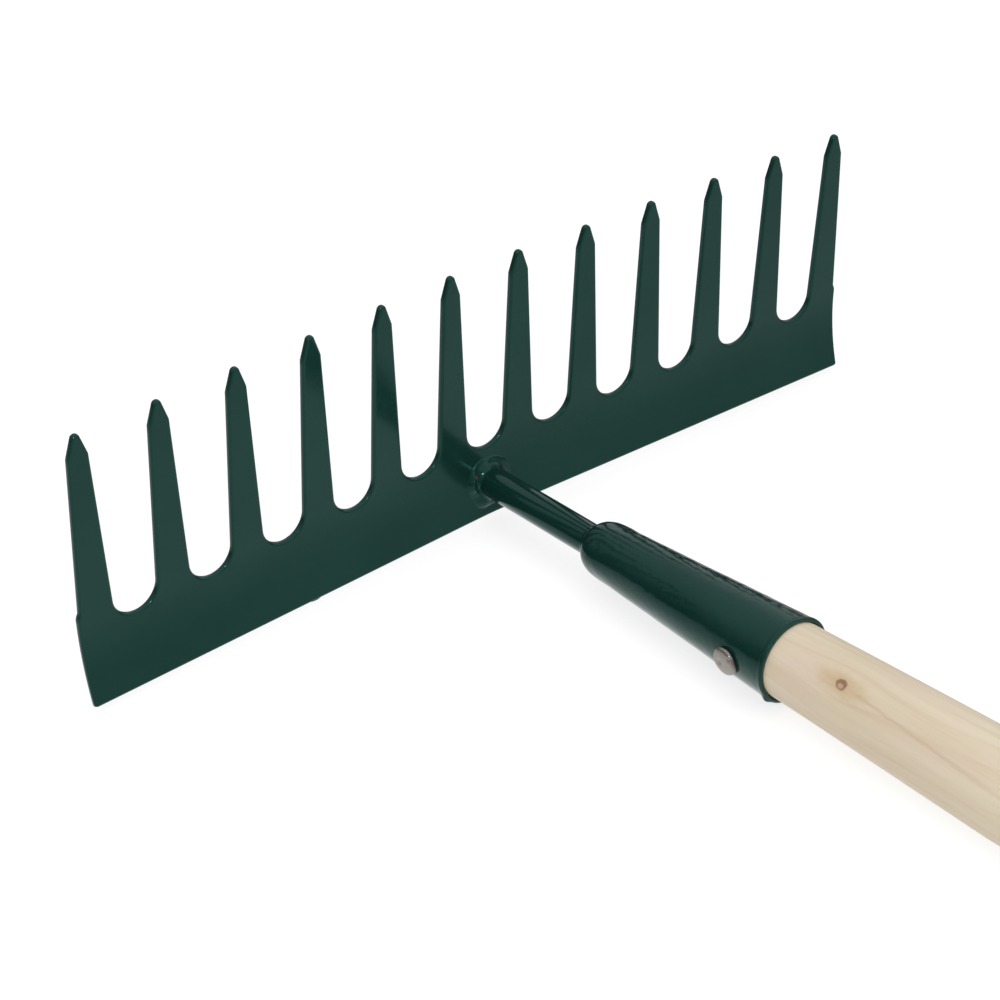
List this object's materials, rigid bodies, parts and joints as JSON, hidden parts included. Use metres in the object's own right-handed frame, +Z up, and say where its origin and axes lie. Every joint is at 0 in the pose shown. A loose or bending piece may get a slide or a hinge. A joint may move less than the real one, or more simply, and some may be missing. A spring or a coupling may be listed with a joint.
{
  "type": "garden rake",
  "caption": "Level-head garden rake: stamped steel plate with tapered tines, welded to a tang and socket on a long round wooden handle.",
  "frame": {"origin": "on the ground under the middle of the whole rake, as it lies level on the straight shaft of its handle", "axes": "+Z up along the tines, +X across the head, handle towards -Y"},
  "size_m": [0.3048, 1.4722, 0.0928],
  "materials": {
    "plate_enamel": "glossy dark green enamel on stamped steel sheet, dipped, with thickened edges",
    "tang_enamel": "glossy dark green enamel on round bar, with runs along it",
    "weld_enamel": "glossy dark green enamel pooled over a lumpy weld bead",
    "socket_enamel": "glossy dark green enamel on a pressed steel socket, pimpled by dust on its top side",
    "rivet_steel": "bare zinc-plated steel, dull, with a hammered face",
    "handle_wood": "sanded pale hardwood with long faint grain and a small knot, unvarnished"
  },
  "bodies": {
    "root": {"head_plate": "plate_enamel", "tang_rod": "tang_enamel", "head_weld": "weld_enamel", "socket": "socket_enamel", "socket_weld": "weld_enamel", "rivet": "rivet_steel", "handle": "handle_wood"}
  },
  "joints": []
}
